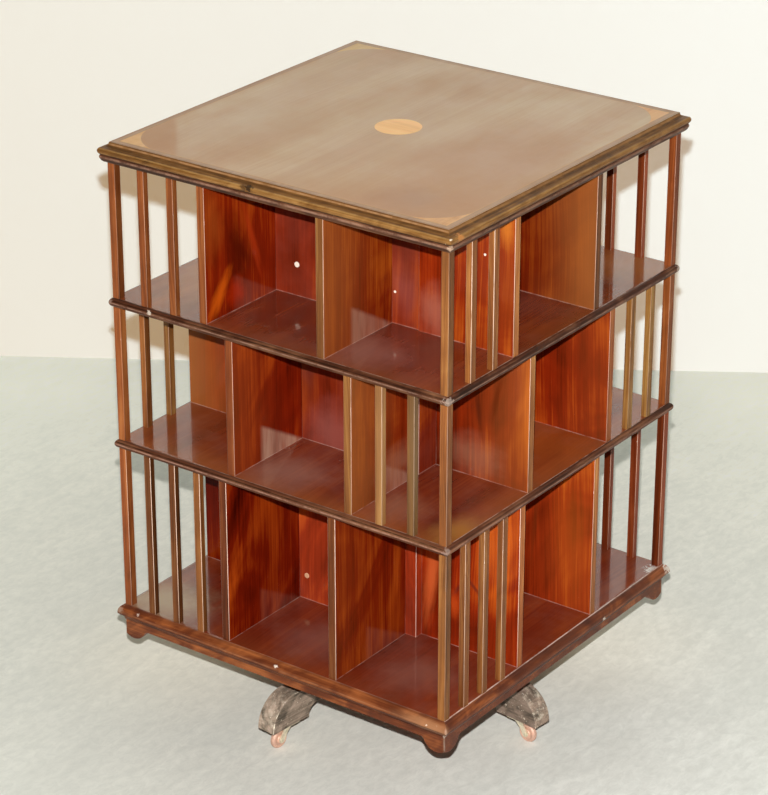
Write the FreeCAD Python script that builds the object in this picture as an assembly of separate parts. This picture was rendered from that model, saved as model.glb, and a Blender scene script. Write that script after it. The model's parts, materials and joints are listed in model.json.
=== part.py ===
import FreeCAD, Part
import os
from FreeCAD import Vector

os.makedirs("parts", exist_ok=True)

# Millimetres, +Z up, origin on the floor under the spindle.
# The front face of the case looks along -Y, the right face along +X.

# Case plan, measured out from the spindle or in from a face
case_half = 271.0
post_size = 11.5
slat_width = 11.0
slat_depth = 9.0
divider_thick = 12.0
divider_inset = 2.0
column_board = 14.0
shelf_overhang = 4.3
base_overhang = 8.4
sub_top_overhang = 7.5
top_overhang = 9.2

# One row per tier, seen from a face: clear height, distance from the left edge to the first
# divider, width of the middle bay, its depth, number of slats, and its hand
tiers = {
    "bottom": dict(clear=240.0, first=172.0, bay=169.0, depth=159.5, slats=3, mirrored=False),
    "middle": dict(clear=194.0, first=150.0, bay=180.0, depth=149.0, slats=2, mirrored=True),
    "top": dict(clear=190.5, first=147.0, bay=179.0, depth=149.0, slats=2, mirrored=False),
}

# Boards
base_thick = 15.0
base_nose = 11.2
shelf_thick = 13.5
sub_top_thick = 11.0
top_thick = 16.5
cove_width = 6.2
cove_drop = 8.1
spindle_clear = 3.0

# Top board and its inlay
top_flat_inset = 2.2
inlay_depth = 1.5
lip_width = 1.0
band_width = 8.2
string_width = 1.3
spandrel_leg = 52.0
spandrel_throat = 27.0
patera_radius = 31.5

# Apron under the base, with a rounded lobe at each end
apron_thick = 12.0
apron_drop = 19.3
lobe_drop = 35.5
lobe_width = 32.0
corner_drop = 31.1

# Cross foot, turned a little against the case
cross_turn = -6.2
beam_width = 30.0
beam_depth = 30.0
toe_height = 46.3
toe_length = 70.0
toe_radius = 45.5
heel_curve = 17.0
arm_length = 268.0
block_half = 55.0
block_height = 52.5

# Spindle and its bearings
spindle_radius = 8.0
running_gap = 0.05
face_gap = 0.2
lower_plate_radius = 50.0
lower_plate_thick = 3.0
washer_radius = 24.0
washer_thick = 1.8
collar_half = 48.0
collar_thick = 4.0
cup_height = 22.0
cup_floor = 4.0
end_gap = 2.0
nut_radius = 13.0
nut_height = 10.0
nut_washer_radius = 18.0
nut_washer_thick = 2.5
thread_end = 1.5

# Countersunk screws
screw_shank = 1.6
screw_head = 3.6
block_screw_length = 18.0
collar_screw_length = 15.0
small_screw_shank = 1.1
small_screw_head = 2.3
small_screw_length = 11.0

# Castors, under the toes
swivel_inset = 39.0
swivel_radius = arm_length - swivel_inset
castor_trail = 14.4
wheel_radius = 14.0
wheel_width = 9.0
wheel_clear = 3.0
cheek_gap = 0.6
cheek_thick = 2.4
crown_radius = 8.2
crown_thick = 2.4
crown_gap = 0.3
axle_radius = 2.0
axle_head = 3.1
pin_radius = 3.0
pin_length = 17.3
plate_half = 13.5
plate_thick = 2.0

# Levels, stacked up from the floor
crown_low = 2 * wheel_radius + wheel_clear
plate_low = crown_low + crown_thick + crown_gap
toe_bottom = plate_low + plate_thick
beam_top = toe_bottom + toe_height
beam_bottom = beam_top - beam_depth
plate_bottom = beam_top + block_height
washer_bottom = plate_bottom + lower_plate_thick
collar_bottom = washer_bottom + washer_thick + face_gap
base_bottom = collar_bottom + collar_thick
base_top = base_bottom + base_thick
lower_shelf_top = base_top + tiers["bottom"]["clear"] + shelf_thick
upper_shelf_top = lower_shelf_top + tiers["middle"]["clear"] + shelf_thick
sub_top_bottom = upper_shelf_top + tiers["top"]["clear"]
top_bottom = sub_top_bottom + sub_top_thick
top_height = top_bottom + top_thick
tier_floors = {"bottom": base_top, "middle": lower_shelf_top, "top": upper_shelf_top}

# Plan sizes that follow from the ones above
shelf_half = case_half + shelf_overhang
base_half = case_half + base_overhang
sub_top_half = case_half + sub_top_overhang
top_half = case_half + top_overhang
top_flat_half = case_half - top_flat_inset
band_outer = top_flat_half - lip_width
string_outer = band_outer - band_width
string_inner = string_outer - string_width
cheek_in = wheel_width / 2 + cheek_gap
cheek_out = cheek_in + cheek_thick
spindle_top = sub_top_bottom - cup_floor - end_gap
spindle_bottom = beam_bottom - nut_washer_thick - nut_height - thread_end
far = 2 * (case_half + top_overhang)
up = Vector(0, 0, 1)


def save(name, solids):
    shape = solids[0] if len(solids) == 1 else Part.makeCompound(solids)
    shape.exportStep("parts/" + name + ".step")


def block(x0, x1, y0, y1, z0, z1):
    return Part.makeBox(x1 - x0, y1 - y0, z1 - z0, Vector(x0, y0, z0))


def rod(radius, z0, z1, x=0.0, y=0.0):
    return Part.makeCylinder(radius, z1 - z0, Vector(x, y, z0), up)


def turned(shape, degrees):
    copy = shape.copy()
    copy.rotate(Vector(0, 0, 0), up, degrees)
    return copy


def four_sides(shape):
    return [turned(shape, 90 * side) for side in range(4)]


def mirror_x(shape):
    return shape.mirror(Vector(0, 0, 0), Vector(1, 0, 0))


def path_edges(start, steps):
    # A step is an end point, or a pair of middle and end point for an arc.
    edges = []
    here = start
    for step in steps:
        if isinstance(step, tuple):
            middle, end = step
            edges.append(Part.Arc(here, middle, end).toShape())
        else:
            end = step
            edges.append(Part.makeLine(here, end))
        here = end
    return edges


def filled(edges):
    return Part.Face(Part.Wire(Part.__sortEdges__(edges)))


def section(points, place):
    # Turns a list of (out, height) points, arcs as pairs of them, into vectors.
    result = []
    for point in points:
        if isinstance(point[0], tuple):
            result.append((place(*point[0]), place(*point[1])))
        else:
            result.append(place(*point))
    return result


def front_wedge():
    # The quarter of the plan in front of the two diagonals.
    corners = [Vector(0, 0, 0), Vector(far, -far, 0), Vector(-far, -far, 0), Vector(0, 0, 0)]
    return Part.Face(Part.makePolygon(corners)).extrude(Vector(0, 0, 2 * top_height))


def moulded_square(points):
    # The same edge on all four sides, mitred at the corners.
    right = section(points, lambda r, z: Vector(r, 0, z))
    left = section(points, lambda r, z: Vector(-r, 0, z))
    edges = path_edges(right[0], right[1:])
    edges += path_edges(left[0], left[1:])
    slab = filled(edges)
    slab.translate(Vector(0, -far, 0))
    slab = slab.extrude(Vector(0, 2 * far, 0))
    return slab.common(turned(slab, 90))


def mitred_strips(points):
    # Four strips with this section, meeting in mitres at the corners.
    ring = section(points, lambda r, z: Vector(-far, -r, z))
    edges = path_edges(ring[0], ring[1:] + [ring[0]])
    strip = filled(edges).extrude(Vector(2 * far, 0, 0))
    return four_sides(strip.common(front_wedge()))


def spindle_hole(z0, z1):
    return rod(spindle_radius + spindle_clear, z0 - 1, z1 + 1)


def shelf(top):
    # Half round edge all the way round.
    nose = shelf_thick / 2
    bottom = top - shelf_thick
    board = moulded_square([
        (0, top),
        (shelf_half - nose, top),
        ((shelf_half, top - nose), (shelf_half - nose, bottom)),
        (0, bottom),
    ])
    return board.cut(spindle_hole(bottom, top))


def base_board():
    # Thumb moulded upper edge, small round below.
    edge = base_half
    board = moulded_square([
        (0, base_top),
        (edge - base_nose, base_top),
        ((edge - 0.29 * base_nose, base_top - 0.31 * base_nose), (edge, base_top - base_nose)),
        (edge, base_bottom + 1.7),
        ((edge - 0.5, base_bottom + 0.5), (edge - 1.7, base_bottom)),
        (0, base_bottom),
    ])
    return board.cut(spindle_hole(base_bottom, base_top))


def base_cove():
    # Hollow strip in the angle between the base board and the apron.
    low = base_bottom - cove_drop
    hollow = 0.4 * cove_width
    return mitred_strips([
        (case_half, base_bottom),
        (case_half + cove_width, base_bottom),
        (case_half + cove_width, base_bottom - 1.3),
        ((case_half + 1.2 + hollow * 0.7, low + 4.8), (case_half + 1.4, low + 1.0)),
        (case_half + 1.0, low),
        (case_half, low),
    ])


def apron_boards():
    # Straight lower edge with a rounded lobe at each end.
    place = lambda x, drop: Vector(x, -case_half, base_bottom - drop)
    lobe_end = lobe_width + 0.2 * lobe_width
    edge = case_half
    shoulder = (apron_drop + lobe_drop) / 2 - 2.8
    right = [
        place(edge, corner_drop),
        (place(edge - 0.47 * lobe_width, lobe_drop), place(edge - lobe_width, shoulder)),
        (place(edge - 1.07 * lobe_width, apron_drop + 1.8), place(edge - lobe_end, apron_drop)),
    ]
    left = [
        place(lobe_end - edge, apron_drop),
        (place(1.07 * lobe_width - edge, apron_drop + 1.8), place(lobe_width - edge, shoulder)),
        (place(0.47 * lobe_width - edge, lobe_drop), place(-edge, corner_drop)),
    ]
    start = place(-edge, 0)
    steps = [place(edge, 0)] + right + left + [start]
    board = filled(path_edges(start, steps)).extrude(Vector(0, apron_thick, 0))
    return four_sides(board.common(front_wedge()))


def sub_top():
    # Small bead at the upper edge, then a round going in under it.
    edge = sub_top_half
    drop = sub_top_thick
    return moulded_square([
        (0, top_bottom),
        (edge - 1.2, top_bottom),
        ((edge, top_bottom - 0.24 * drop), (edge - 1.1, top_bottom - 0.55 * drop)),
        ((edge - 3.3, top_bottom - 0.87 * drop), (edge - 7.7, sub_top_bottom)),
        (0, sub_top_bottom),
    ])


def spandrel(depth):
    # Corner piece with a hollow inner edge.
    a = string_inner
    throat = a - spandrel_throat / 2 ** 0.5
    low = top_height - inlay_depth
    corner = Vector(a, -a, low)
    first = Vector(a - spandrel_leg, -a, low)
    last = Vector(a, -a + spandrel_leg, low)
    edges = [
        Part.makeLine(corner, first),
        Part.Arc(first, Vector(throat, -throat, low), last).toShape(),
        Part.makeLine(last, corner),
    ]
    return filled(edges).extrude(Vector(0, 0, depth))


def flat_ring(outer, inner):
    # Mitred frame of four strips let into the top.
    low = top_height - inlay_depth
    return mitred_strips([(inner, low), (outer, low), (outer, top_height), (inner, top_height)])


def square_plate(half, z0, z1):
    return block(-half, half, -half, half, z0, z1)


def top_board():
    # From the flat down: small step, hollow, flat, nose, and a quirk above the sub top.
    low = top_height - inlay_depth
    board = moulded_square([
        (0, top_height),
        (top_flat_half, top_height),
        (top_flat_half + 0.3, top_height - 1.9),
        ((top_flat_half + 1.6, top_height - 4.5), (top_flat_half + 4.2, top_height - 5.9)),
        (top_half - 1.8, top_height - 7.2),
        ((top_half, top_height - 11.3), (top_half - 1.3, top_bottom + 1.6)),
        (top_half - 2.6, top_bottom),
        (0, top_bottom),
    ])
    frame = square_plate(band_outer, low, top_height + 1)
    frame = frame.cut(square_plate(string_inner, low - 1, top_height + 2))
    pockets = [frame, rod(patera_radius, low, top_height + 1)]
    pockets += four_sides(spandrel(inlay_depth + 1))
    return without(board, pockets)


def without(body, tools):
    for tool in tools:
        body = body.cut(tool)
    return body


def tier_parts(name):
    # Pinwheel of one tier, laid out for the front face and turned round the column.
    tier = tiers[name]
    low = tier_floors[name]
    high = low + tier["clear"]
    face = case_half
    col = face - tier["depth"]
    near = divider_inset - face
    first_left = tier["first"] - face
    second_left = first_left + divider_thick + tier["bay"]
    first = block(first_left, first_left + divider_thick, near, -col, low, high)
    second = block(second_left, second_left + divider_thick, near, -col, low, high)
    gap = (tier["first"] - post_size - tier["slats"] * slat_width) / (tier["slats"] + 1)
    slats = []
    for number in range(tier["slats"]):
        left = -face + post_size + gap + number * (slat_width + gap)
        slats.append(block(left, left + slat_width, -face, slat_depth - face, low, high))
    post = block(-face, post_size - face, -face, post_size - face, low, high)
    board = block(column_board - col, col, -col, column_board - col, low, high)
    groups = {
        "dividers": [[turned(first, 90 * side), turned(second, 90 * side)] for side in range(4)],
        "slats": [turned(slat, 90 * side) for side in range(4) for slat in slats],
        "posts": four_sides(post),
        "column": four_sides(board),
    }
    if tier["mirrored"]:
        # Mirroring swaps the left and right faces.
        sides = groups["dividers"]
        groups["dividers"] = [[mirror_x(board) for board in sides[-side % 4]] for side in range(4)]
        for key in ("slats", "posts", "column"):
            groups[key] = [mirror_x(piece) for piece in groups[key]]
    return groups


def foot_beam():
    # Side view of one whole beam, both toes alike: quarter round on top, heel behind the castor.
    place = lambda x, z: Vector(x, -beam_width / 2, z)
    centre = arm_length - toe_radius
    bow = toe_radius * 0.5 ** 0.5
    spring = beam_top - toe_radius
    heel = arm_length - toe_length
    rise = beam_bottom - toe_bottom
    edges = []
    for sign in (1, -1):
        edges += path_edges(place(0, beam_top), [
            place(sign * centre, beam_top),
            (place(sign * (centre + bow), spring + bow), place(sign * arm_length, spring)),
            place(sign * arm_length, toe_bottom),
            place(sign * heel, toe_bottom),
            place(sign * (heel - 0.6), toe_bottom + 0.33 * rise),
            (place(sign * (heel - 6.5), toe_bottom + 0.79 * rise),
             place(sign * (heel - heel_curve), beam_bottom)),
            place(0, beam_bottom),
        ])
    beam = filled(edges).extrude(Vector(0, beam_width, 0))
    tools = [rod(spindle_radius, 0, top_height)]
    for sign in (1, -1):
        tools.append(rod(pin_radius + running_gap, toe_bottom - 1, toe_bottom + pin_length,
                         sign * swivel_radius))
    return without(beam, tools)


def cross_beams():
    half = beam_width / 2
    middle = (beam_top + beam_bottom) / 2
    upper = foot_beam().cut(square_plate(half, 0, middle))
    lower = foot_beam().cut(square_plate(half, middle, top_height))
    return turned(upper, cross_turn), turned(lower, cross_turn + 90)


def centre_block():
    body = square_plate(block_half, beam_top, plate_bottom)
    return turned(body.cut(rod(spindle_radius, 0, top_height)), cross_turn)


def flush_screw(x, y, z, direction, shank, head, length):
    # Countersunk, its flat head level with z.
    at = Vector(x, y, z)
    way = Vector(0, 0, direction)
    cone = Part.makeCone(head, shank, head - shank, at, way)
    return cone.fuse(Part.makeCylinder(shank, length, at, way)).removeSplitter()


def plate_screws(z, direction, spread, length):
    return [flush_screw(x, y, z, direction, screw_shank, screw_head, length)
            for x in (-spread, spread) for y in (-spread, spread)]


def horn_cheek():
    # One side of the horn, curving from the crown out to the axle.
    place = lambda x, z: Vector(x, -cheek_out, z)
    root = crown_low + 0.3 * crown_thick
    hub = wheel_radius
    eye = axle_radius + 2.8
    back = 0.9 * crown_radius
    start = place(-back, root)
    fall = root - hub
    steps = [
        (place(castor_trail - eye - 0.78 * (castor_trail - eye), hub + 0.57 * fall),
         place(castor_trail - eye, hub - 0.6)),
        (place(castor_trail + 0.4, hub - eye), place(castor_trail + eye, hub + 1.2)),
        (place(castor_trail - 3.2, hub + 0.6 * fall), place(back - 0.6, root)),
        start,
    ]
    return filled(path_edges(start, steps)).extrude(Vector(0, cheek_thick, 0))


def castor_wheel():
    # Rounded tread, dished sides, raised hub; axle along Y.
    half = wheel_width / 2
    bore = axle_radius + running_gap
    rim = wheel_radius - 3.6
    hub = axle_radius + 2.6
    points = [
        (bore, -half),
        (hub, -half),
        (hub + 0.8, -half + 1.0),
        (rim - 1.6, -half + 1.2),
        (rim, -half + 0.2),
        ((wheel_radius, 0), (rim, half - 0.2)),
        (rim - 1.6, half - 1.2),
        (hub + 0.8, half - 1.0),
        (hub, half),
        (bore, half),
        (bore, -half),
    ]
    ring = section(points, lambda r, y: Vector(r, y, 0))
    face = filled(path_edges(ring[0], ring[1:]))
    return face.revolve(Vector(0, 0, 0), Vector(0, 1, 0), 360)


def castor(number):
    # Laid out on an arm along +X, then turned to its arm.
    centre = Vector(castor_trail, 0, wheel_radius)
    across = Vector(0, 1, 0)
    side = horn_cheek()
    other = side.copy()
    other.translate(across * (2 * cheek_in + cheek_thick))
    crown = rod(crown_radius, crown_low, crown_low + crown_thick)
    bar = block(-0.9 * crown_radius, 0.9 * crown_radius - 0.6, -cheek_out, cheek_out,
                crown_low, crown_low + 0.8 * crown_thick)
    pin = rod(pin_radius, crown_low, toe_bottom + pin_length - end_gap)
    hole = Part.makeCylinder(axle_radius, 2 * cheek_out + 2, centre - across * (cheek_out + 1),
                             across)
    horn = crown.fuse(bar).fuse(side).fuse(other).fuse(pin).cut(hole)
    axle = Part.makeCylinder(axle_radius, 2 * cheek_out, centre - across * cheek_out, across)
    for way in (across, across * -1):
        axle = axle.fuse(Part.makeCylinder(axle_head, 0.8, centre + way * cheek_out, way))
    wheel = castor_wheel()
    wheel.translate(centre)
    pieces = []
    for piece in (horn, axle.removeSplitter(), wheel):
        piece.translate(Vector(swivel_radius, 0, 0))
        pieces.append(turned(piece, cross_turn + 90 * number))
    return pieces


def castor_plate(number):
    x = swivel_radius
    plate = block(x - plate_half, x + plate_half, -plate_half, plate_half, plate_low, toe_bottom)
    plate = plate.cut(rod(pin_radius + running_gap, plate_low - 1, toe_bottom + 1, x))
    inset = plate_half - 3.4
    screws = [flush_screw(x + sx, sy, plate_low, 1, small_screw_shank, small_screw_head,
                          small_screw_length)
              for sx in (-inset, inset) for sy in (-inset, inset)]
    plate = without(plate, screws)
    angle = cross_turn + 90 * number
    return turned(plate, angle), [turned(screw, angle) for screw in screws]


def pivot_cup():
    # Flanged cup under the sub top that centres the head of the spindle.
    low = sub_top_bottom - cup_height
    cup = rod(4 * spindle_radius, sub_top_bottom - cup_floor, sub_top_bottom)
    cup = cup.fuse(rod(spindle_radius + 7.0, low, sub_top_bottom - cup_floor))
    bore = rod(spindle_radius + running_gap, low - 1, sub_top_bottom - cup_floor)
    return cup.cut(bore).removeSplitter()


def ring_plate(outer, inner, z0, z1):
    return rod(outer, z0, z1).cut(rod(inner, z0 - 1, z1 + 1))


def spindle_nut():
    top = beam_bottom - nut_washer_thick
    corner = Vector(nut_radius, 0, top - nut_height)
    points = [FreeCAD.Rotation(up, 60 * turn).multVec(corner) for turn in range(7)]
    body = Part.Face(Part.makePolygon(points)).extrude(Vector(0, 0, nut_height))
    return body.cut(rod(spindle_radius, 0, top_height))


# Cross foot
upper_beam, lower_beam = cross_beams()
plates = []
castor_screws = []
for number in range(4):
    plate, screws = castor_plate(number)
    plates.append(plate)
    castor_screws += screws
save("cross_beam_upper", [without(upper_beam, castor_screws)])
save("cross_beam_lower", [without(lower_beam, castor_screws)])
save("castor_plates", plates)
save("castor_plate_screws", castor_screws)

# Fixed half of the bearing
block_screws = plate_screws(washer_bottom, -1, 0.64 * lower_plate_radius, block_screw_length)
block_screws = [turned(screw, cross_turn) for screw in block_screws]
lower_plate = ring_plate(lower_plate_radius, spindle_radius, plate_bottom, washer_bottom)
save("centre_block", [without(centre_block(), block_screws)])
save("lower_plate", [without(lower_plate, block_screws)])
save("lower_plate_screws", block_screws)
save("thrust_washer", [ring_plate(washer_radius, spindle_radius + running_gap, washer_bottom,
                                  washer_bottom + washer_thick)])
save("spindle", [rod(spindle_radius, spindle_bottom, spindle_top)])
save("spindle_washer", [ring_plate(nut_washer_radius, spindle_radius,
                                   beam_bottom - nut_washer_thick, beam_bottom)])
save("spindle_nut", [spindle_nut()])

# Castors
for number in range(4):
    horn, axle, wheel = castor(number)
    save("castor_horn_%d" % (number + 1), [horn])
    save("castor_axle_%d" % (number + 1), [axle])
    save("castor_wheel_%d" % (number + 1), [wheel])

# Revolving half of the bearing
collar_screws = plate_screws(collar_bottom, 1, 0.75 * collar_half, collar_screw_length)
collar = square_plate(collar_half, collar_bottom, base_bottom)
collar = collar.cut(rod(spindle_radius + running_gap, 0, top_height))
save("collar_plate", [without(collar, collar_screws)])
save("collar_screws", collar_screws)
save("pivot_cup", [pivot_cup()])

# Boards of the case
save("base_board", [without(base_board(), collar_screws)])
save("base_cove", base_cove())
save("apron_boards", apron_boards())
save("lower_shelf", [shelf(lower_shelf_top)])
save("upper_shelf", [shelf(upper_shelf_top)])
save("sub_top", [sub_top()])
save("top_board", [top_board()])
save("top_crossbanding", flat_ring(band_outer, string_outer))
save("top_stringing", flat_ring(string_outer, string_inner))
save("top_spandrels", four_sides(spandrel(inlay_depth)))
save("top_patera", [rod(patera_radius, top_height - inlay_depth, top_height)])

# Tiers
for name in tiers:
    groups = tier_parts(name)
    save("column_" + name, groups["column"])
    save("posts_" + name, groups["posts"])
    save("slats_" + name, groups["slats"])
    for side, word in enumerate(("front", "right", "back", "left")):
        save("dividers_" + name + "_" + word, groups["dividers"][side])
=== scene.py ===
# Revolving bookcase: finishes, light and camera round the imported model
import bpy
import bmesh
import json
import math
import random
from mathutils import Matrix, Vector


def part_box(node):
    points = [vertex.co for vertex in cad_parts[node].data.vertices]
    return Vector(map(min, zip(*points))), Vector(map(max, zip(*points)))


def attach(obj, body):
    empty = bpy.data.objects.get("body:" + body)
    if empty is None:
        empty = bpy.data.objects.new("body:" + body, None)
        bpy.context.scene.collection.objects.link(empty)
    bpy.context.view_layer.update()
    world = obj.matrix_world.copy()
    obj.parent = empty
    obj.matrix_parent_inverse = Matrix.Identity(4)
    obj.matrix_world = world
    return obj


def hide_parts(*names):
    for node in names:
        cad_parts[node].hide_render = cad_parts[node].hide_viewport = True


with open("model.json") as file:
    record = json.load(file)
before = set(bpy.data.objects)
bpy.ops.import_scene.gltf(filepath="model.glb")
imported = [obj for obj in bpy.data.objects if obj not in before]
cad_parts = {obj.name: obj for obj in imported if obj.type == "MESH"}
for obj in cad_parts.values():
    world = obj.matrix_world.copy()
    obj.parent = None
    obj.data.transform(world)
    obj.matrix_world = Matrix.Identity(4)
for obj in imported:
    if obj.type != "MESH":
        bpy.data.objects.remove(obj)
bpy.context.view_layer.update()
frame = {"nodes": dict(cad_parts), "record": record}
nodes = frame["nodes"]
record = frame["record"]
bodyOf = {node: body for body, names in record["behaviour"]["bodies"].items() for node in names}
slotOf = {row["node"]: row["material_slot"] for row in record["subparts"]}
tierNames = ["bottom", "middle", "top"]
sideNames = ["front", "right", "back", "left"]
print("model loaded:", len(nodes), "nodes")


# Node helpers: a value is a number, a colour, a vector or an output of another node

def feed(tree, socket, value):
    if isinstance(value, (int, float)):
        socket.default_value = value
    elif isinstance(value, tuple):
        socket.default_value = value + (1,) if socket.type == "RGBA" and len(value) == 3 else value
    else:
        tree.links.new(value, socket)


def wire(tree, node, wires):
    for socket, value in wires.items():
        feed(tree, node.inputs[socket], value)


def addNode(tree, kind, wires=None, **settings):
    node = tree.nodes.new(kind)
    for name, value in settings.items():
        setattr(node, name, value)
    wire(tree, node, wires or {})
    return node


def maths(tree, operation, a, b=None):
    wires = {0: a} if b is None else {0: a, 1: b}
    return addNode(tree, "ShaderNodeMath", wires, operation=operation).outputs[0]


def times(tree, a, b):
    return maths(tree, "MULTIPLY", a, b)


def swing(tree, noise, size):
    # Noise that swings about zero.
    return times(tree, maths(tree, "SUBTRACT", noise, 0.5), size)


def vectorMaths(tree, operation, a, b=(0, 0, 0)):
    out = "Value" if operation in ("DISTANCE", "DOT_PRODUCT", "LENGTH") else "Vector"
    return addNode(tree, "ShaderNodeVectorMath", {0: a, 1: b}, operation=operation).outputs[out]


def mixColour(tree, mask, a, b, blend="MIX"):
    wires = {0: mask, 6: a, 7: b}
    return addNode(tree, "ShaderNodeMix", wires, data_type="RGBA", blend_type=blend).outputs[2]


def spread(tree, value, low, high, toLow=0.0, toHigh=1.0, smooth=True):
    wires = {"Value": value, "From Min": low, "From Max": high, "To Min": toLow, "To Max": toHigh}
    slope = "SMOOTHSTEP" if smooth else "LINEAR"
    return addNode(tree, "ShaderNodeMapRange", wires, interpolation_type=slope).outputs[0]


def stretched(tree, vector, scale):
    return addNode(tree, "ShaderNodeMapping", {"Vector": vector, "Scale": scale}).outputs[0]


def cloudy(tree, vector, scale, detail=3.0, rough=0.5, distortion=0.0):
    wires = {"Vector": vector, "Scale": scale, "Detail": detail, "Roughness": rough, "Distortion": distortion}
    return addNode(tree, "ShaderNodeTexNoise", wires).outputs["Fac"]


def parted(tree, vector):
    return addNode(tree, "ShaderNodeSeparateXYZ", {0: vector}).outputs


def objectPlace(tree):
    return addNode(tree, "ShaderNodeTexCoord").outputs["Object"]


def attribute(tree, name, out="Fac"):
    return addNode(tree, "ShaderNodeAttribute", attribute_name=name, attribute_type="GEOMETRY").outputs[out]


def newGroup(name, colours, vectors, numbers, extra=None):
    # Every effect gives a colour, and a few give one number more.
    group = bpy.data.node_groups.new(name, "ShaderNodeTree")
    wanted = [("INPUT", "Color", colours), ("INPUT", "Vector", vectors), ("INPUT", "Float", numbers),
              ("OUTPUT", "Color", "Color"), ("OUTPUT", "Float", extra or "")]
    for way, kind, labels in wanted:
        for label in labels.split():
            group.interface.new_socket(name=label, in_out=way, socket_type="NodeSocket" + kind)
    return group, addNode(group, "NodeGroupInput").outputs, addNode(group, "NodeGroupOutput").inputs


def lay(group, given, out, mask, over):
    feed(group, out["Color"], mixColour(group, mask, given["Color"], over))


def useGroup(tree, group, **wires):
    return addNode(tree, "ShaderNodeGroup", wires, node_tree=group).outputs


def newMaterial(name):
    material = bpy.data.materials.new(name)
    material.use_nodes = True
    return material, material.node_tree, material.node_tree.nodes["Principled BSDF"]


def bump(tree, height, strength, distance):
    wires = {"Strength": strength, "Distance": distance, "Height": height}
    return addNode(tree, "ShaderNodeBump", wires).outputs["Normal"]


# Shared effects

def makeFigure():
    # Wood figure: straight bands, soft curls and fine fibre. Grain runs along z of the vector.
    group, given, out = newGroup("woodFigure", "Dark Mid Light", "Grain",
                                 "Bands BandScale Curl CurlScale Fibre", "Height")
    warp = cloudy(group, stretched(group, given["Grain"], (1, 1, 0.4)), 4.0, 2.0)
    bend = addNode(group, "ShaderNodeCombineXYZ", {"X": swing(group, warp, 0.06)})
    bent = vectorMaths(group, "ADD", given["Grain"], bend.outputs[0])
    lean = (math.radians(24), math.radians(-24), 0)
    leaning = addNode(group, "ShaderNodeMapping", {"Vector": bent, "Rotation": lean}).outputs[0]
    bands = cloudy(group, stretched(group, bent, (1, 1, 0.04)), given["BandScale"], 3.0, 0.55)
    curls = cloudy(group, stretched(group, leaning, (1, 1, 0.45)), given["CurlScale"], 3.0, 0.5, 1.4)
    fibre = cloudy(group, stretched(group, bent, (1, 1, 0.018)), 300.0, 4.0, 0.7)
    level = 0.5
    for noise, share in ((bands, "Bands"), (curls, "Curl"), (fibre, "Fibre")):
        level = maths(group, "ADD", times(group, swing(group, noise, 3.2), given[share]), level)
    lower = mixColour(group, spread(group, level, 0.0, 0.5, smooth=False), given["Dark"], given["Mid"])
    upper = mixColour(group, spread(group, level, 0.5, 1.0, smooth=False), lower, given["Light"])
    feed(group, out["Color"], upper)
    feed(group, out["Height"], fibre)
    return group


def makeTone():
    # Each board a little lighter or darker, redder or browner than its neighbour.
    group, given, out = newGroup("boardTone", "Color", "", "Tone Warm Lightness Redness")
    value = maths(group, "ADD", times(group, given["Tone"], given["Lightness"]), 1.0)
    lit = addNode(group, "ShaderNodeVectorMath", {0: given["Color"], "Scale": value}, operation="SCALE")
    parts = addNode(group, "ShaderNodeSeparateColor", {0: lit.outputs[0]}).outputs
    browner = maths(group, "ADD", 1.0, times(group, given["Warm"], given["Redness"]))
    wires = {0: parts[0], 1: times(group, parts[1], browner), 2: times(group, parts[2], browner)}
    feed(group, out["Color"], addNode(group, "ShaderNodeCombineColor", wires).outputs[0])
    return group


def makeArris():
    # Pale arrises: the small bevels go pale in patches, with a few chips; partly wear, partly a painted glint
    # of the lamp on the rounded edges.
    group, given, out = newGroup("arrisWearAndGlint", "Color Worn", "Vector", "Arris Amount Scale Chips")
    chipColour = (0.78, 0.72, 0.64)
    patch = cloudy(group, given["Vector"], given["Scale"], 4.0, 0.65)
    low = maths(group, "SUBTRACT", 0.85, given["Amount"])
    mask = times(group, spread(group, patch, low, maths(group, "ADD", low, 0.25)), given["Arris"])
    chip = cloudy(group, given["Vector"], 260.0, 2.0, 0.5)
    chipped = times(group, spread(group, chip, 0.66, 0.7), given["Chips"])
    worn = mixColour(group, mask, given["Color"], given["Worn"])
    feed(group, out["Color"], mixColour(group, times(group, chipped, given["Arris"]), worn, chipColour))
    return group


def makeMark():
    # One ragged local mark: a knot, a chip or a worn corner.
    group, given, out = newGroup("localMark", "Color Mark", "Vector Centre", "Reach Amount")
    gap = vectorMaths(group, "DISTANCE", given["Vector"], given["Centre"])
    rough = cloudy(group, given["Vector"], 260.0, 5.0, 0.75)
    ragged = swing(group, rough, times(group, given["Reach"], 5.0))
    rim = times(group, given["Reach"], 0.65)
    inside = spread(group, maths(group, "ADD", gap, ragged), given["Reach"], rim)
    lay(group, given, out, times(group, inside, given["Amount"]), given["Mark"])
    return group


def makePatch():
    # A soft patch of colour on one board, for figure and for painted light: the vector is 0 at its middle and
    # 1 long at its rim.
    group, given, out = newGroup("softPatch", "Color Patch", "Within", "Amount")
    reach = vectorMaths(group, "LENGTH", given["Within"])
    uneven = swing(group, cloudy(group, given["Within"], 1.6, 4.0, 0.6), 0.9)
    mask = spread(group, maths(group, "ADD", reach, uneven), 1.15, 0.1)
    lay(group, given, out, times(group, mask, given["Amount"]), given["Patch"])
    return group


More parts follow.
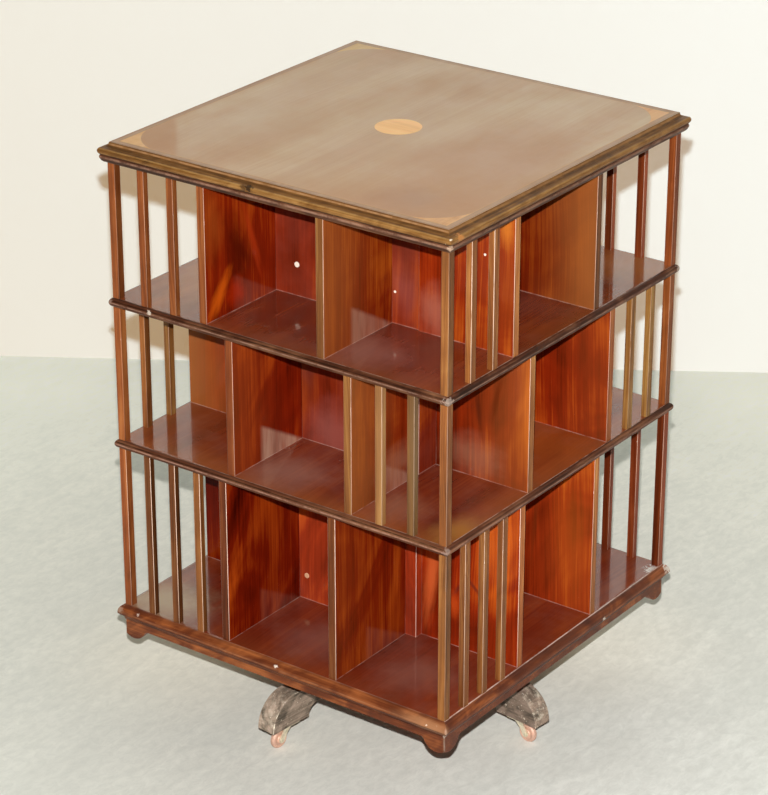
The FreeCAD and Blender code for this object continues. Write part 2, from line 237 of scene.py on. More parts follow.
def makeLine():
    # A fine line that runs round the case at one place of a moulding, broken here and there: inlay lines on
    # the top, painted shade in hollows and under noses, painted highlights on noses and ridges.
    group, given, out = newGroup("lineShadeAndHighlight", "Color Line", "Vector", "Out Height Reach Front Right Gaps")
    parts = parted(group, given["Vector"])
    sideways = maths(group, "ABSOLUTE", parts[0])
    forwards = maths(group, "ABSOLUTE", parts[1])
    apart = maths(group, "SUBTRACT", maths(group, "MAXIMUM", sideways, forwards), given["Out"])
    above = maths(group, "SUBTRACT", parts[2], given["Height"])
    squares = maths(group, "ADD", times(group, apart, apart), times(group, above, above))
    line = spread(group, maths(group, "SQRT", squares), given["Reach"], times(group, given["Reach"], 0.4))
    wires = {0: maths(group, "GREATER_THAN", sideways, forwards), 2: given["Front"], 3: given["Right"]}
    strength = addNode(group, "ShaderNodeMix", wires, data_type="FLOAT").outputs[0]
    patchy = spread(group, cloudy(group, given["Vector"], 60.0, 4.0, 0.7), 0.35, 0.6)
    lost = times(group, maths(group, "SUBTRACT", 1.0, patchy), given["Gaps"])
    mask = times(group, times(group, line, maths(group, "SUBTRACT", 1.0, lost)), strength)
    lay(group, given, out, mask, given["Line"])
    return group


def makeBloom():
    # Painted reflection: a pale haze low down towards the column, where the lamp's light comes back from the
    # corner, and in clouds.
    group, given, out = newGroup("paintedReflectionHaze", "Color Bloom", "Vector", "Rise Depth Corner Cloud")
    slope = 0.58
    under = maths(group, "SUBTRACT", times(group, given["Depth"], slope), given["Rise"])
    near = times(group, spread(group, under, -0.003, 0.005), spread(group, given["Depth"], 0.094, 0.083))
    streaks = cloudy(group, stretched(group, given["Vector"], (1, 1, 0.15)), 70.0, 3.0, 0.6)
    low = times(group, times(group, near, spread(group, streaks, 0.3, 0.7, 0.45)), given["Corner"])
    clouds = spread(group, cloudy(group, given["Vector"], 14.0, 4.0, 0.6), 0.42, 0.72)
    mask = maths(group, "MAXIMUM", low, times(group, clouds, given["Cloud"]))
    lay(group, given, out, mask, given["Bloom"])
    return group


def makePolish():
    # The top goes redder with less coat in clouds, towards the near corner and beyond one line: partly uneven
    # old polish, partly a painted reflection, the red standing where the top mirrors less of the pale wall.
    group, given, out = newGroup("polishAndPaintedReflection", "Color", "Vector", "Coat", "Coat")
    red = (0.50, 0.24, 0.11)
    lineWay, lineAt = (0.768, 0.640, 0), -0.290
    cornerWay = (0.7071, -0.7071, 0)
    beyond = maths(group, "SUBTRACT", vectorMaths(group, "DOT_PRODUCT", given["Vector"], lineWay), lineAt)
    redBeyondLine = times(group, spread(group, beyond, 0.006, -0.006), 0.7)
    cloud = cloudy(group, stretched(group, given["Vector"], (1, 0.35, 1)), 14.0, 4.0, 0.6)
    patchy = spread(group, cloud, 0.42, 0.72, 0.0, 0.45)
    corner = vectorMaths(group, "DOT_PRODUCT", given["Vector"], cornerWay)
    redNearCorner = spread(group, maths(group, "ADD", corner, times(group, cloud, 0.12)), 0.17, 0.37, 0.0, 0.75)
    mask = maths(group, "MAXIMUM", redBeyondLine, maths(group, "MAXIMUM", patchy, redNearCorner))
    lay(group, given, out, mask, red)
    feed(group, out["Coat"], times(group, maths(group, "SUBTRACT", 1.0, mask), given["Coat"]))
    return group


def makeFade():
    # Lighter towards the open sides of the case: partly wood bleached by daylight, partly painted light and
    # painted reflection of the pale wall.
    group, given, out = newGroup("fadeAndPaintedLight", "Color Faded", "Vector", "From To Amount")
    parts = parted(group, given["Vector"])
    outward = maths(group, "MAXIMUM", maths(group, "ABSOLUTE", parts[0]), maths(group, "ABSOLUTE", parts[1]))
    drift = swing(group, cloudy(group, given["Vector"], 9.0, 2.0), 0.05)
    reach = maths(group, "ADD", outward, drift)
    mask = times(group, spread(group, reach, given["From"], given["To"]), given["Amount"])
    lay(group, given, out, mask, given["Faded"])
    return group


def makeSeam():
    # A pale line along the joint with the board below and low up the joint behind; higher up the joint with
    # the board behind, painted shade of the corner.
    group, given, out = newGroup("jointLineAndShade", "Color", "Vector", "Rise Depth Amount")
    paleJointLine, jointShade, width = (0.62, 0.45, 0.38), (0.02, 0.008, 0.006), 0.0014
    foot = spread(group, given["Rise"], width, 0.0, smooth=False)
    back = spread(group, given["Depth"], width, 0.0, smooth=False)
    low = spread(group, given["Rise"], 0.055, 0.020)
    broken = spread(group, cloudy(group, given["Vector"], 45.0, 4.0, 0.65), 0.34, 0.62, 0.15)
    high = maths(group, "SUBTRACT", 1.0, low)
    dark = mixColour(group, times(group, times(group, back, 0.7), high), given["Color"], jointShade)
    pale = maths(group, "MAXIMUM", foot, times(group, back, low))
    mask = times(group, times(group, pale, broken), given["Amount"])
    feed(group, out["Color"], mixColour(group, mask, dark, paleJointLine))
    return group


def makeScuff():
    # Small light knocks and smears that show anywhere on a surface.
    group, given, out = newGroup("scuffs", "Color Scuff", "Vector", "Scale Amount Level", "Mask")
    spots = cloudy(group, given["Vector"], given["Scale"], 5.0, 0.7)
    found = spread(group, spots, given["Level"], maths(group, "ADD", given["Level"], 0.08))
    mask = times(group, found, given["Amount"])
    lay(group, given, out, mask, given["Scuff"])
    feed(group, out["Mask"], mask)
    return group


figureGroup = makeFigure()
toneGroup = makeTone()
arrisWearAndGlintGroup = makeArris()
markGroup = makeMark()
patchGroup = makePatch()
lineShadeAndHighlightGroup = makeLine()
reflectionHazeGroup = makeBloom()
polishAndReflectionGroup = makePolish()
fadeAndPaintedLightGroup = makeFade()
jointLineAndShadeGroup = makeSeam()
scuffGroup = makeScuff()
print("shared effects ready")


# Woods: each one says where it differs from the plain one
plainWood = dict(bands=0.4, bandScale=60.0, curl=0.4, fibre=0.4, lightness=0.1, redness=0.1,
                 wear=0.3, wearScale=30.0, chips=0.0, speckScale=420.0, speckLevel=0.69,
                 rough=0.46, coat=0.1, coatRough=0.16, specular=0.4, bump=0.06)
# In these the fading colours also carry painted light, the milky colours and clouds are painted reflection
# haze, and the pale arris colours serve both wear and a painted glint.
woods = {
    "panel": dict(
        dark=(0.05, 0.0035, 0.0008), mid=(0.225, 0.0175, 0.0026), light=(0.55, 0.11, 0.01), bands=0.26,
        bandScale=50.0, curl=0.8, curlScale=8.0, fibre=0.26, lightness=0.3, redness=0.5,
        faded=(0.33, 0.115, 0.03), fadeFrom=0.15, fadeTo=0.275, fade=0.9, worn=(0.74, 0.48, 0.38),
        wear=0.7, specks=0.35, paleJointLine=0.5, bloomColour=(0.42, 0.235, 0.165), cloudReflection=0.0, rough=0.32, coat=0.13,
        coatRough=0.12, specular=0.0, bump=0.05),
    "column": dict(
        dark=(0.045, 0.0045, 0.002), mid=(0.23, 0.0215, 0.0058), light=(0.55, 0.095, 0.014), bands=0.25,
        bandScale=40.0, curl=0.8, curlScale=9.0, fibre=0.2, lightness=0.3, redness=0.5,
        worn=(0.72, 0.5, 0.42), wear=0.9, paleJointLine=0.5, bloomColour=(0.3, 0.075, 0.055), cloudReflection=0.16,
        rough=0.32, coat=0.16, coatRough=0.14, specular=0.0, bump=0.05),
    "shelf": dict(
        dark=(0.055, 0.007, 0.003), mid=(0.155, 0.022, 0.008), light=(0.32, 0.07, 0.018), bands=0.28,
        bandScale=30.0, curl=0.25, curlScale=7.0, fibre=0.2, lightness=0.3, redness=0.2,
        faded=(0.44, 0.15, 0.045), fadeFrom=0.21, fadeTo=0.28, fade=0.8, worn=(0.5, 0.36, 0.26), wear=0.5,
        wearScale=70.0, chips=0.5, bloomColour=(0.27, 0.125, 0.095), cloudReflection=0.2, rough=0.16, coat=0.68,
        coatRough=0.035, specular=0.3, bump=0.02),
    "bar": dict(
        dark=(0.09, 0.026, 0.008), mid=(0.268, 0.08, 0.0205), light=(0.5, 0.2, 0.058), bands=0.35,
        bandScale=70.0, curl=0.3, curlScale=12.0, fibre=0.45, lightness=0.45, redness=0.45,
        worn=(0.74, 0.53, 0.41), wear=0.62, wearScale=22.0, specks=0.25, speckLevel=0.66, rough=0.36,
        coatRough=0.12, specular=0.1),
    "top": dict(
        dark=(0.48, 0.265, 0.115), mid=(0.55, 0.345, 0.17), light=(0.6, 0.425, 0.235), bands=0.5,
        bandScale=16.0, curl=0.35, curlScale=5.0, fibre=0.25, worn=(0.4, 0.25, 0.14), wear=0.4, coat=0.7,
        bump=0.03, cloudyCoat=True),
    "moulding": dict(
        dark=(0.055, 0.022, 0.006), mid=(0.165, 0.07, 0.016), light=(0.32, 0.165, 0.05), bandScale=70.0,
        curl=0.9, curlScale=38.0, fibre=0.5, lightness=0.15, redness=0.15, faded=(0.3, 0.17, 0.06),
        fadeFrom=0.2, fadeTo=0.27, fade=0.2, worn=(0.5, 0.33, 0.18), wear=0.2, wearScale=60.0, chips=0.8,
        specks=0.35, speckLevel=0.64, rough=0.42, coat=0.06, coatRough=0.18, specular=0.15),
    "bead": dict(
        dark=(0.018, 0.006, 0.003), mid=(0.078, 0.022, 0.009), light=(0.24, 0.105, 0.05), bandScale=80.0,
        curl=0.5, curlScale=25.0, fibre=0.35, lightness=0.5, redness=0.15, faded=(0.16, 0.08, 0.05),
        fadeFrom=0.2, fadeTo=0.27, fade=0.2, worn=(0.42, 0.26, 0.18), wearScale=70.0, chips=1.0, specks=0.5,
        speckLevel=0.65, rough=0.4, coat=0.05, coatRough=0.12, specular=0.1),
    "band": dict(
        dark=(0.36, 0.19, 0.085), mid=(0.45, 0.25, 0.118), light=(0.53, 0.325, 0.165), curl=0.2,
        curlScale=15.0, worn=(0.4, 0.25, 0.14), coat=0.35, bump=0.03),
    "satin": dict(
        dark=(0.72, 0.36, 0.085), mid=(0.95, 0.54, 0.155), light=(1.0, 0.66, 0.23), bandScale=45.0,
        curlScale=30.0, fibre=0.2, lightness=0.3, redness=0.25, worn=(0.8, 0.6, 0.4), coat=0.55, bump=0.02),
    "base": dict(
        dark=(0.05, 0.012, 0.005), mid=(0.115, 0.029, 0.009), light=(0.3, 0.095, 0.027), bands=0.32,
        bandScale=40.0, curl=0.75, curlScale=22.0, fibre=0.35, lightness=0.4, redness=0.2,
        worn=(0.55, 0.38, 0.28), wear=0.7, wearScale=60.0, chips=0.7, specks=0.5, speckLevel=0.66,
        rough=0.38, coatRough=0.14, specular=0.15),
    "foot": dict(
        dark=(0.085, 0.066, 0.046), mid=(0.3, 0.23, 0.172), light=(0.52, 0.4, 0.315), curl=0.9,
        curlScale=45.0, lightness=0.5, worn=(0.94, 0.84, 0.68), wear=0.4, wearScale=110.0, chips=0.9,
        specks=1.0, speckScale=300.0, speckLevel=0.62, rough=0.62, coat=0.0, coatRough=0.3, bump=0.25),
}

# Ragged marks: middle, reach, colour and amount
paleChip = (0.88, 0.74, 0.56)
marks = {
    "shelf": [((0.27, 0.248, 0.1585), 0.012, (0.8, 0.76, 0.7), 0.9)],
    "moulding": [
        ((-0.0295, -0.2795, 0.829), 0.006, (0.02, 0.01, 0.006), 0.9),
        ((-0.038, -0.2795, 0.8275), 0.005, (0.05, 0.022, 0.01), 0.7),
        ((0.2795, -0.26, 0.826), 0.007, (0.55, 0.22, 0.06), 0.7),
        ((0.278, -0.278, 0.83), 0.0016, paleChip, 0.8),
        ((0.272, -0.28, 0.8225), 0.0014, paleChip, 0.8)],
    "bead": [
        ((0.2785, -0.2785, 0.817), 0.005, (0.6, 0.42, 0.3), 0.7),
        ((0.275, -0.275, 0.613), 0.0085, (0.42, 0.33, 0.28), 0.65),
        ((0.275, -0.275, 0.406), 0.007, (0.34, 0.24, 0.2), 0.6),
        ((-0.205, -0.275, 0.615), 0.003, (0.72, 0.62, 0.52), 0.7),
        ((-0.275, -0.275, 0.612), 0.006, (0.34, 0.22, 0.17), 0.6),
        ((0.275, 0.275, 0.613), 0.007, (0.5, 0.4, 0.33), 0.7)],
    "base": [
        ((0.279, -0.279, 0.156), 0.0026, (0.66, 0.52, 0.44), 0.7),
        ((0.2715, -0.2715, 0.135), 0.003, (0.6, 0.48, 0.4), 0.6),
        ((0.279, 0.276, 0.152), 0.01, (0.74, 0.68, 0.6), 0.8),
        ((-0.0006, -0.2794, 0.153), 0.003, (0.8, 0.7, 0.6), 0.9),
        ((-0.2432, -0.2794, 0.154), 0.003, (0.66, 0.52, 0.44), 0.8),
        ((0.2794, 0.1031, 0.144), 0.004, (0.76, 0.66, 0.56), 0.9),
        ((0.2476, -0.2794, 0.149), 0.0013, (0.76, 0.62, 0.5), 0.8),
        ((0.264, -0.279, 0.153), 0.0014, (0.8, 0.66, 0.54), 0.8),
        ((0.236, -0.278, 0.156), 0.0018, (0.6, 0.36, 0.22), 0.8),
        ((-0.279, -0.279, 0.152), 0.008, (0.42, 0.28, 0.2), 0.6)],
}

# Soft patches on single boards, figure and painted light as marked below: middle, half sizes, colour, amount,
# and any lean in degrees about x and y
patches = {
    "top": [
        ((0.165, -0.05, 0.8375), (0.17, 0.23, 0.05), (0.46, 0.2, 0.07), 0.75),
        ((-0.15, -0.09, 0.8375), (0.11, 0.11, 0.05), (0.6, 0.42, 0.25), 0.6),
        ((0.17, -0.215, 0.8375), (0.06, 0.06, 0.05), (0.28, 0.155, 0.09), 0.7)],
    "base": [
        ((0.279, -0.279, 0.15), (0.003, 0.003, 0.013), (0.72, 0.52, 0.42), 0.6),
        ((0.2715, -0.2715, 0.122), (0.003, 0.003, 0.018), (0.46, 0.36, 0.28), 0.5),
        ((0.25, -0.2794, 0.15), (0.06, 0.01, 0.02), (0.46, 0.215, 0.1), 0.65)],
    "bar": [
        ((0.169, -0.27, 0.51), (0.012, 0.02, 0.25), (0.33, 0.172, 0.072), 0.55),
        ((0.22, -0.27, 0.51), (0.012, 0.02, 0.25), (0.165, 0.1, 0.043), 0.65)],
    "panel": [
        ((0.175, 0.082, 0.275), (0.005, 0.01, 0.09), (0.15, 0.02, 0.004), 0.8, 0, 5),
        ((0.235, 0.082, 0.26), (0.04, 0.01, 0.13), (0.5, 0.1, 0.012), 0.3),
        ((0.154, -0.083, 0.525), (0.005, 0.01, 0.06), (0.1, 0.014, 0.004), 0.7),
        ((-0.112, -0.202, 0.7), (0.01, 0.03, 0.068), (0.06, 0.004, 0.001), 0.85, 19, 0),
        ((-0.112, -0.242, 0.65), (0.01, 0.014, 0.044), (0.58, 0.095, 0.005), 0.8, -35, 0),
        ((-0.112, -0.208, 0.645), (0.01, 0.024, 0.024), (0.42, 0.022, 0.002), 0.6),
        ((-0.112, -0.17, 0.705), (0.01, 0.008, 0.066), (0.4, 0.036, 0.006), 0.6, 17, 0),
        ((-0.112, -0.256, 0.755), (0.01, 0.03, 0.07), (0.3, 0.062, 0.009), 0.5),
        ((0.256, -0.124, 0.788), (0.014, 0.01, 0.032), (0.58, 0.18, 0.022), 0.65),
        # Painted light thrown onto the board from the polished shelf.
        ((0.148, -0.124, 0.652), (0.032, 0.01, 0.045), (0.46, 0.19, 0.13), 0.4),
        ((0.264, -0.124, 0.7), (0.024, 0.01, 0.085), (0.24, 0.036, 0.006), 0.75),
        ((0.121, -0.168, 0.448), (0.01, 0.055, 0.03), (0.31, 0.125, 0.07), 0.55),
        # Painted light thrown onto the board from the polished shelf.
        ((0.185, -0.083, 0.44), (0.06, 0.01, 0.04), (0.38, 0.19, 0.115), 0.35),
        ((0.19, -0.083, 0.51), (0.006, 0.01, 0.05), (0.09, 0.014, 0.004), 0.85, 0, -8),
        ((0.218, -0.083, 0.535), (0.006, 0.01, 0.05), (0.11, 0.018, 0.004), 0.8, 0, 12),
        ((0.174, -0.099, 0.25), (0.004, 0.01, 0.028), (0.1, 0.016, 0.012), 0.7, 0, 38),
        ((0.199, -0.099, 0.256), (0.004, 0.01, 0.022), (0.1, 0.016, 0.012), 0.7, 0, -45),
        ((0.164, -0.099, 0.22), (0.018, 0.01, 0.024), (0.6, 0.075, 0.01), 0.6),
        ((0.128, -0.099, 0.25), (0.014, 0.01, 0.09), (0.62, 0.12, 0.03), 0.7, 0, 8)],
    "column": [
        # The next two: painted reflection haze.
        ((-0.02, -0.122, 0.43), (0.05, 0.01, 0.06), (0.36, 0.105, 0.085), 0.5),
        ((0.1, -0.122, 0.67), (0.03, 0.01, 0.05), (0.24, 0.07, 0.058), 0.5),
        ((0.098, -0.122, 0.735), (0.034, 0.01, 0.065), (0.13, 0.022, 0.012), 0.85),
        ((-0.06, -0.122, 0.525), (0.018, 0.01, 0.07), (0.1, 0.016, 0.01), 0.75),
        ((-0.085, -0.122, 0.75), (0.024, 0.01, 0.024), (0.18, 0.04, 0.03), 0.6, 0, 20),
        ((0.03, -0.1115, 0.29), (0.03, 0.01, 0.12), (0.62, 0.085, 0.01), 0.6)],
    "shelf": [
        ((0.195, 0.05, 0.412), (0.1, 0.15, 0.01), (0.42, 0.105, 0.018), 0.55),
        # These five: painted reflections of the pale wall and glare of the lamp.
        ((0.256, -0.225, 0.412), (0.036, 0.055, 0.01), (0.42, 0.185, 0.045), 0.85),
        ((-0.2, -0.1, 0.6195), (0.09, 0.2, 0.01), (0.52, 0.19, 0.042), 0.75),
        ((0.23, 0.23, 0.6195), (0.12, 0.08, 0.01), (0.5, 0.2, 0.055), 0.5),
        ((0.02, -0.19, 0.1585), (0.085, 0.065, 0.01), (0.25, 0.115, 0.09), 0.5),
        ((0.17, -0.19, 0.1585), (0.075, 0.065, 0.01), (0.25, 0.11, 0.08), 0.5),
        # Painted shadow of a slat.
        ((-0.215, -0.1, 0.412), (0.07, 0.16, 0.01), (0.18, 0.036, 0.01), 0.6),
        # The rest: painted reflections and glare, the last on the base top.
        ((-0.02, -0.22, 0.412), (0.075, 0.065, 0.01), (0.38, 0.2, 0.15), 0.55),
        ((0.158, -0.215, 0.412), (0.06, 0.055, 0.01), (0.38, 0.16, 0.09), 0.5),
        ((0.11, -0.22, 0.6195), (0.08, 0.065, 0.01), (0.36, 0.17, 0.135), 0.5),
        ((-0.23, -0.235, 0.1585), (0.085, 0.075, 0.01), (0.4, 0.285, 0.165), 0.95)],
}

# Fine lines round the mouldings: distance out, height, reach and colour, then the strength on the front
# and back, the strength on the right and left, and how much of it is broken away. On the top and the band
# they are inlay lines; elsewhere the dark ones are painted shade in hollows and under noses, and the pale
# ones painted highlights on noses and ridges.
edgeLine = (0.2670, 0.8375, 0.0011, (0.10, 0.05, 0.02), 0.75, 0.5, 0.5)
inlayShadeAndHighlightLines = {
    "top": [edgeLine],
    "band": [
        edgeLine,
        (0.2596, 0.8375, 0.0009, (0.22, 0.12, 0.05), 0.5, 0.4, 0.6)],
    "moulding": [
        (0.269, 0.8373, 0.001, (0.12, 0.05, 0.02), 0.75, 0.4, 0.5),
        (0.2697, 0.835, 0.0016, (0.42, 0.225, 0.105), 0.75, 0.35, 0.6),
        (0.2715, 0.8325, 0.0022, (0.055, 0.024, 0.008), 0.6, 0.75, 0.45),
        (0.2786, 0.8298, 0.0016, (0.42, 0.25, 0.09), 0.5, 0.4, 0.7),
        (0.2786, 0.8215, 0.0019, (0.02, 0.009, 0.004), 0.95, 0.8, 0.2)],
    "bead": [
        (0.2785, 0.8215, 0.0014, (0.015, 0.006, 0.003), 0.7, 0.7, 0.3),
        (0.2784, 0.818, 0.002, (0.38, 0.21, 0.14), 0.6, 0.4, 0.8),
        (0.277, 0.8145, 0.0016, (0.02, 0.008, 0.004), 0.45, 0.5, 0.5),
        (0.2697, 0.6195, 0.001, (0.46, 0.3, 0.23), 0.6, 0.7, 0.9),
        (0.2745, 0.616, 0.0013, (0.01, 0.004, 0.002), 0.8, 0.5, 0.5),
        (0.2753, 0.6128, 0.0013, (0.36, 0.21, 0.15), 0.6, 0.45, 0.85),
        (0.2697, 0.412, 0.001, (0.46, 0.3, 0.23), 0.6, 0.8, 0.9),
        (0.2745, 0.4085, 0.0013, (0.01, 0.004, 0.002), 0.8, 0.5, 0.5),
        (0.2753, 0.4053, 0.0014, (0.4, 0.22, 0.16), 0.7, 0.5, 0.85)],
    "base": [
        (0.27, 0.158, 0.0018, (0.8, 0.62, 0.54), 0.1, 0.9, 0.6),
        (0.273, 0.156, 0.0016, (0.05, 0.016, 0.007), 0.6, 0.7, 0.6),
        (0.2792, 0.148, 0.0013, (0.42, 0.18, 0.08), 0.4, 0.1, 0.8),
        (0.279, 0.1442, 0.0017, (0.03, 0.011, 0.006), 0.85, 0.85, 0.2)],
}


def addPatches(tree, name, colour, place):
    for at, size, tint, amount, *lean in patches.get(name, []):
        tilt = tuple(math.radians(angle) for angle in (lean or [0, 0]) + [0])
        wires = {"Vector": place, "Location": at, "Rotation": tilt, "Scale": size}
        within = addNode(tree, "ShaderNodeMapping", wires, vector_type="TEXTURE").outputs[0]
        colour = useGroup(tree, patchGroup, Color=colour, Within=within, Patch=tint, Amount=amount)["Color"]
    return colour


def addLinesAndMarks(tree, name, colour, place):
    # Inlay lines, and painted shade and painted highlight lines round the mouldings.
    for outward, height, reach, tint, front, right, gaps in inlayShadeAndHighlightLines.get(name, []):
        colour = useGroup(tree, lineShadeAndHighlightGroup, Color=colour, Vector=place, Out=outward, Height=height,
                          Reach=reach, Line=tint, Front=front, Right=right, Gaps=gaps)["Color"]
    for at, reach, tint, amount in marks.get(name, []):
        colour = useGroup(tree, markGroup, Color=colour, Vector=place, Centre=at, Reach=reach, Mark=tint,
                          Amount=amount)["Color"]
    return colour


def makeWood(name, look):
    material, tree, shader = newMaterial(name + "Wood")
    place = objectPlace(tree)
    rise, depth = attribute(tree, "rise"), attribute(tree, "depth")
    figure = useGroup(tree, figureGroup, Grain=attribute(tree, "grain", "Vector"), Dark=look["dark"],
                      Mid=look["mid"], Light=look["light"], Bands=look["bands"], BandScale=look["bandScale"],
                      Curl=times(tree, attribute(tree, "curl"), look["curl"]), CurlScale=look["curlScale"],
                      Fibre=look["fibre"])
    colour = useGroup(tree, toneGroup, Color=figure["Color"], Tone=attribute(tree, "tone"),
                      Warm=attribute(tree, "warm"), Lightness=look["lightness"],
                      Redness=look["redness"])["Color"]
    # Lighter towards the open sides: bleaching and painted light.
    if "faded" in look:
        amount = times(tree, attribute(tree, "fade"), look["fade"])
        colour = useGroup(tree, fadeAndPaintedLightGroup, Color=colour, Vector=place, Faded=look["faded"],
                          From=look["fadeFrom"], To=look["fadeTo"], Amount=amount)["Color"]
    colour = addPatches(tree, name, colour, place)
    # Painted reflection haze low by the column and in clouds.
    if "bloomColour" in look:
        colour = useGroup(tree, reflectionHazeGroup, Color=colour, Rise=rise, Depth=depth, Vector=place,
                          Corner=attribute(tree, "bloom"), Cloud=look["cloudReflection"],
                          Bloom=look["bloomColour"])["Color"]
    if "specks" in look:
        colour = useGroup(tree, scuffGroup, Color=colour, Vector=place, Scuff=look["worn"],
                          Scale=look["speckScale"], Amount=look["specks"], Level=look["speckLevel"])["Color"]
    # Pale joint lines, and painted shade up the joint at the back.
    if "paleJointLine" in look:
        colour = useGroup(tree, jointLineAndShadeGroup, Color=colour, Rise=rise, Depth=depth, Vector=place,
                          Amount=look["paleJointLine"])["Color"]
    colour = useGroup(tree, arrisWearAndGlintGroup, Color=colour, Arris=attribute(tree, "arris"), Vector=place,
                      Worn=look["worn"], Amount=look["wear"], Scale=look["wearScale"],
                      Chips=look["chips"])["Color"]
    colour = addLinesAndMarks(tree, name, colour, place)
    coat = look["coat"]
    # The top: uneven polish with a painted reflection, redder where it mirrors less of the wall.
    if "cloudyCoat" in look:
        polish = useGroup(tree, polishAndReflectionGroup, Color=colour, Vector=place, Coat=coat)
        colour, coat = polish["Color"], polish["Coat"]
    clouds = cloudy(tree, place, 14.0, 4.0, 0.6)
    gloss = spread(tree, clouds, 0.3, 0.7, look["rough"] - 0.06, look["rough"] + 0.08)
    wire(tree, shader, {"Base Color": colour, "Roughness": gloss, "Coat Weight": coat,
                        "Coat Roughness": look["coatRough"], "Specular IOR Level": look["specular"],
                        "Normal": bump(tree, figure["Height"], look["bump"], 0.0006)})
    return material


woodOf = {name: makeWood(name, {**plainWood, **look}) for name, look in woods.items()}

# Metals: colour, tarnish, how metallic, how rough, and the scale of the tarnish
metals = {
    "brass": ((0.86, 0.77, 0.60), (0.62, 0.56, 0.41), 0.55, 0.42, 120.0),
    "copperWheel": ((0.74, 0.45, 0.34), (0.62, 0.38, 0.29), 0.35, 0.45, 90.0),
    "iron": ((0.060, 0.055, 0.052), (0.11, 0.07, 0.05), 0.7, 0.5, 60.0),
    "screwSteel": ((0.38, 0.36, 0.33), (0.2, 0.17, 0.14), 0.9, 0.42, 150.0),
}


def makeMetal(name, colour, tarnish, metallic, rough, scale):
    material, tree, shader = newMaterial(name)
    place = objectPlace(tree)
    bright = tuple(min(1.0, part * 1.35) for part in colour)
    dull = useGroup(tree, scuffGroup, Color=colour, Vector=place, Scuff=tarnish, Scale=scale, Amount=0.8,
                    Level=0.46)
    worn = useGroup(tree, arrisWearAndGlintGroup, Color=dull["Color"], Arris=attribute(tree, "arris"), Vector=place,
                    Worn=bright, Amount=0.8, Scale=200.0, Chips=0.0)
    wire(tree, shader, {"Base Color": worn["Color"], "Metallic": metallic,
                        "Roughness": spread(tree, dull["Mask"], 0.0, 0.8, rough, rough + 0.15),
                        "Normal": bump(tree, cloudy(tree, place, 400.0, 3.0), 0.15, 0.0003)})
    return material


metalOf = {name: makeMetal(name, *row) for name, row in metals.items()}
print("finishes ready")


# Pieces from the CAD nodes
weldGap = 0.00001
endGap = 0.0001
wholeFaceAngle = math.radians(0.6)
creaseAngle = math.radians(38)
flatArea = 0.004  # no curve has faces as large as this
# Arrises that face the near corner, towards the lamp, get the full pale line: wear with a painted glint.
farArris = 0.45  # wear on arrises that don't face the near corner
faceLayers = ("arris", "tone", "warm", "curl", "fade", "bloom")


def welded(node, wholeFaces):
    # CAD meshes are loose triangles: weld a copy, and on plain boards give back the whole flat faces.
    mesh = bmesh.new()
    mesh.from_mesh(nodes[node].data)
    for name in faceLayers:
        mesh.faces.layers.float.new(name)
    for name in ("rise", "depth"):
        mesh.loops.layers.float.new(name)
    mesh.loops.layers.float_vector.new("grain")
    bmesh.ops.remove_doubles(mesh, verts=mesh.verts, dist=weldGap)
    if wholeFaces:
        bmesh.ops.dissolve_limit(mesh, angle_limit=wholeFaceAngle, use_dissolve_boundaries=False,
                                 verts=mesh.verts, edges=mesh.edges)
    return mesh


def separateSolids(mesh):
    left = set(mesh.faces)
    solids = []
    while left:
        start = left.pop()
        solid, front = [start], [start]
        while front:
            face = front.pop()
            for other in [other for edge in face.edges for other in edge.link_faces]:
                if other in left:
                    left.discard(other)
                    solid.append(other)
                    front.append(other)
        solids.append(solid)
    solids.sort(key=lambda faces: tuple(round(sum(f.calc_center_median()[k] for f in faces) / len(faces), 4)
                                        for k in (0, 1, 2)))
    return solids


def softenEdges(mesh, width, minAngle, keepEnds, keepSharp):
    sharp = []
    low = min(v.co.z for v in mesh.verts)
    high = max(v.co.z for v in mesh.verts)
    for edge in mesh.edges:
        if len(edge.link_faces) != 2 or edge.calc_face_angle(0) < math.radians(minAngle):
            continue
        ends = [v.co.z for v in edge.verts]
        atEnd = max(ends) < low + endGap or min(ends) > high - endGap
        if keepEnds and atEnd or keepSharp and keepSharp(edge):
            continue
        sharp.append(edge)
    if not sharp:
        return set()
    made = bmesh.ops.bevel(mesh, geom=sharp, offset=width, offset_type="OFFSET", affect="EDGES", segments=2,
                           profile=0.5, material=-1, clamp_overlap=True)
    return set(made["faces"])


def longestAxis(faces, axes):
    points = [v.co for face in faces for v in face.verts]
    sizes = [max(p[k] for p in points) - min(p[k] for p in points) for k in range(axes)]
    return sizes.index(max(sizes))


def isFlat(face):
    return max(abs(part) for part in face.normal) > 0.9999 or face.calc_area() > flatArea


def grainVector(point, axis, shift):
    order = ((1, 2, 0), (0, 2, 1), (0, 1, 2))[axis]
    return Vector([point[k] for k in order]) + shift


def newPiece(name, mesh, materials):
    data = bpy.data.meshes.new(name)
    mesh.to_mesh(data)
    mesh.free()
    for material in materials:
        data.materials.append(material)
    piece = bpy.data.objects.new(name, data)
    bpy.context.scene.collection.objects.link(piece)
    return piece


